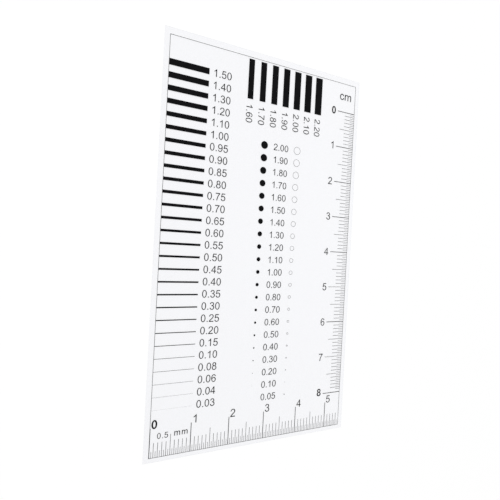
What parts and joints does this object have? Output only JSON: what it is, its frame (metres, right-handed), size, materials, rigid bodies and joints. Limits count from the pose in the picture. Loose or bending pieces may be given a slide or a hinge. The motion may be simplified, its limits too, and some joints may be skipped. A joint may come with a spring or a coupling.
{
  "type": "crack width gauge",
  "caption": "Clear film comparison gauge with printed bars, spots, rings and two centimetre rules for reading crack widths.",
  "frame": {"origin": "middle of the sheet's back face, which lies on the surface", "axes": "+X to the right along the bottom edge as the print is read, +Y up the sheet, +Z out of the printed face"},
  "size_m": [0.0576, 0.1006, 0.0002],
  "materials": {
    "clear_film": "clear glossy polyester film",
    "black_ink": "opaque black print, slightly satin"
  },
  "bodies": {
    "root": {"film_sheet": "clear_film", "border_line": "black_ink", "width_bars": "black_ink", "wide_bars": "black_ink", "size_spots": "black_ink", "size_rings": "black_ink", "side_rule": "black_ink", "base_rule": "black_ink"}
  },
  "joints": []
}
